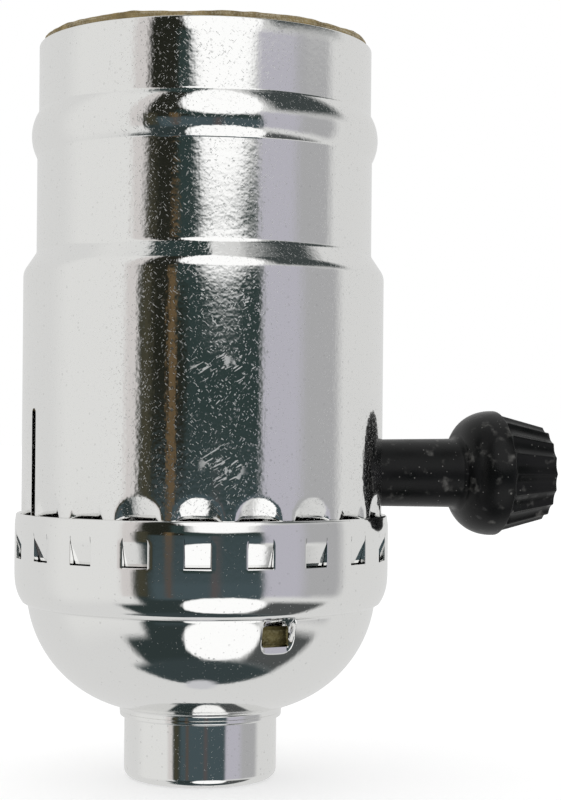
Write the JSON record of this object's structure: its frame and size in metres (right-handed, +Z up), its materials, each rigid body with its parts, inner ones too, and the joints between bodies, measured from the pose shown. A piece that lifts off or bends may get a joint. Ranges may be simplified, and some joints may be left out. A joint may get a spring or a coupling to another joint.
{
  "type": "rotary knob lamp socket",
  "caption": "Metal shell lamp socket for a medium screw-base lamp, with a rotary knob switch on its side and a threaded hub below.",
  "frame": {"origin": "centre of the hub's lower face, on the socket's axis, where the threaded pipe enters", "axes": "+Z up the socket's axis towards the lamp, +X along the knob's axis out of the shell"},
  "size_m": [0.0518, 0.035, 0.069],
  "materials": {
    "plated_shell": "bright nickel plate, lightly scuffed",
    "liner_fibre": "brown vulcanised fibre board, cut edge fuzzy",
    "cap_fibre": "tan fibre board",
    "phenolic": "moulded black phenolic",
    "rotor_plastic": "moulded brown phenolic",
    "knob_plastic": "satin black, moulded",
    "screw_shell_metal": "rolled, bright",
    "contact_brass": "stamped",
    "nickel_steel": "plated",
    "spring_steel": "bare strip"
  },
  "bodies": {
    "socket": {"shell": "plated_shell", "cap": "plated_shell", "hub_bushing": "plated_shell", "set_screw": "nickel_steel", "shell_liner": "liner_fibre", "cap_liner": "cap_fibre", "base_insulator": "phenolic", "upper_insulator": "phenolic", "screw_shell": "screw_shell_metal", "centre_contact": "contact_brass", "upper_contact": "contact_brass", "centre_rivet": "contact_brass", "hot_terminal": "contact_brass", "neutral_terminal": "nickel_steel", "hot_screw": "contact_brass", "neutral_screw": "nickel_steel", "body_rivets": "nickel_steel", "neutral_rivet": "nickel_steel", "detent_spring": "spring_steel"},
    "spindle": {"switch_shaft": "nickel_steel", "rotor": "rotor_plastic", "rotor_bridge": "contact_brass", "detent_cam": "rotor_plastic", "knob": "knob_plastic", "knob_insert": "contact_brass"}
  },
  "joints": [
    {"name": "knob_turn", "type": "hinge", "parent": "socket", "child": "spindle", "pos_m": [0, 0, 0.0286], "axis": [1, 0, 0], "continuous": true}
  ]
}
